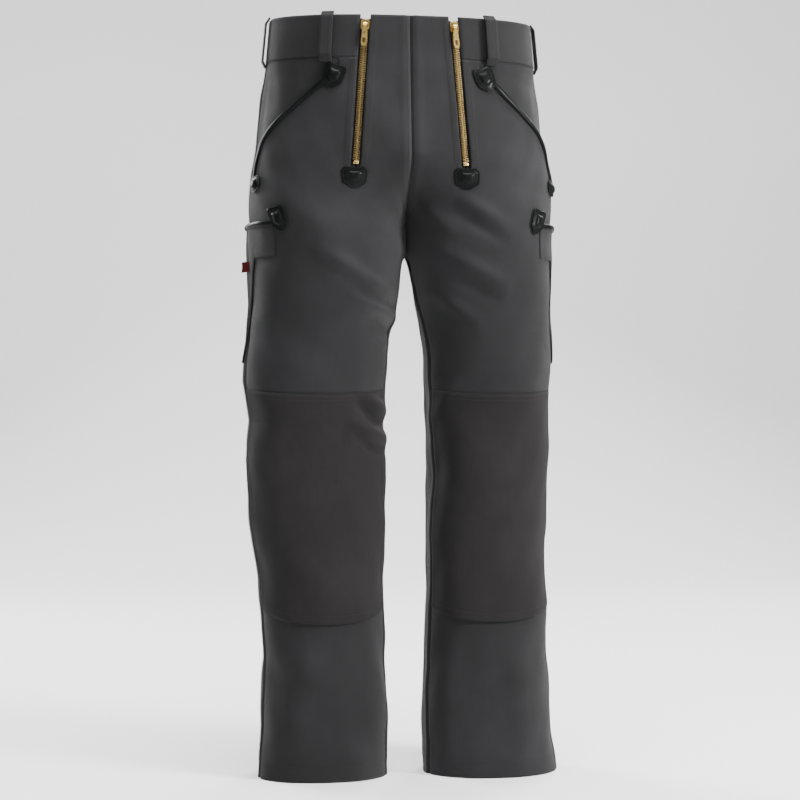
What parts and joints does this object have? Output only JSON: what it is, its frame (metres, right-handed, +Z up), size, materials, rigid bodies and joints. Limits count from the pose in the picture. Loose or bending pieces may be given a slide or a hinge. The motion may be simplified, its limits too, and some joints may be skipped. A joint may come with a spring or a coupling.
{
  "type": "work trousers",
  "caption": "Hollow standing work trousers with a zipped front flap, leather-edged pockets, knee-pad pockets and belt loops.",
  "frame": {"origin": "on the floor, at the middle of the garment's width and depth, between the two hems", "axes": "+Z up from hem to waist, -Y towards the front, +X towards the wearer's left"},
  "size_m": [0.4632, 0.2388, 1.0897],
  "materials": {
    "main_cloth": "matte charcoal double-layer twill",
    "knee_cloth": "matte brown-grey coarse woven reinforcement",
    "lining": "matte black lining cotton",
    "black_leather": "smooth black leather with a soft shine",
    "zip_tape": "black woven tape",
    "zip_brass": "antique brass, worn bright on the edges",
    "bright_brass": "polished brass",
    "label": "red woven tape"
  },
  "bodies": {
    "trousers": {"back_belt_loop_left": "main_cloth", "back_belt_loop_right": "main_cloth", "back_panel_left": "main_cloth", "back_panel_right": "main_cloth", "back_pocket_left": "main_cloth", "back_pocket_right": "main_cloth", "back_waistband_left": "main_cloth", "back_waistband_right": "main_cloth", "centre_belt_loop": "main_cloth", "flag_label_right": "label", "fly_flap_left": "main_cloth", "fly_flap_right": "main_cloth", "front_belt_loop_left": "main_cloth", "front_belt_loop_right": "main_cloth", "front_panel_left": "main_cloth", "front_panel_right": "main_cloth", "front_waistband_left": "main_cloth", "front_waistband_right": "main_cloth", "hem_facing_left": "main_cloth", "hem_facing_right": "main_cloth", "hip_pocket_bag_left": "lining", "hip_pocket_bag_right": "lining", "hip_pocket_facing_left": "main_cloth", "hip_pocket_facing_right": "main_cloth", "hip_pocket_patch_left": "black_leather", "hip_pocket_patch_right": "black_leather", "hip_pocket_piping_left": "black_leather", "hip_pocket_piping_right": "black_leather", "knee_patch_left": "knee_cloth", "knee_patch_right": "knee_cloth", "side_belt_loop_left": "main_cloth", "side_belt_loop_right": "main_cloth", "side_patch_left": "black_leather", "side_patch_right": "black_leather", "side_pocket_binding_left": "black_leather", "side_pocket_binding_right": "black_leather", "side_pocket_left": "main_cloth", "side_pocket_patch_left": "black_leather", "side_pocket_patch_right": "black_leather", "side_pocket_right": "main_cloth", "waistband_lining_left": "lining", "waistband_lining_right": "lining", "zip_inner_tape_left": "zip_tape", "zip_inner_tape_right": "zip_tape", "zip_inner_teeth_left": "zip_brass", "zip_inner_teeth_right": "zip_brass", "zip_outer_tape_left": "zip_tape", "zip_outer_tape_right": "zip_tape", "zip_outer_teeth_left": "zip_brass", "zip_outer_teeth_right": "zip_brass", "zip_patch_left": "black_leather", "zip_patch_right": "black_leather", "zip_shield_left": "lining", "zip_shield_right": "lining", "zip_stops_left": "zip_brass", "zip_stops_right": "zip_brass"},
    "zip_slider_left": {"zip_slider_left": "bright_brass"},
    "zip_puller_left": {"zip_puller_left": "bright_brass"},
    "zip_slider_right": {"zip_slider_right": "bright_brass"},
    "zip_puller_right": {"zip_puller_right": "bright_brass"}
  },
  "joints": [
    {"name": "zip_slide_left", "type": "slide", "parent": "trousers", "child": "zip_slider_left", "axis": [0.0749, -0.0736, -0.9945], "range_m": [0, 0.184]},
    {"name": "zip_puller_hinge_left", "type": "hinge", "parent": "zip_slider_left", "child": "zip_puller_left", "pos_m": [0.06336, -0.10252, 1.06014], "axis": [-0.9871, -0.147, -0.0635], "range_deg": [0, 165]},
    {"name": "zip_slide_right", "type": "slide", "parent": "trousers", "child": "zip_slider_right", "axis": [-0.0749, -0.0736, -0.9945], "range_m": [0, 0.184]},
    {"name": "zip_puller_hinge_right", "type": "hinge", "parent": "zip_slider_right", "child": "zip_puller_right", "pos_m": [-0.06336, -0.10252, 1.06014], "axis": [-0.9871, 0.147, 0.0635], "range_deg": [0, 165]}
  ]
}
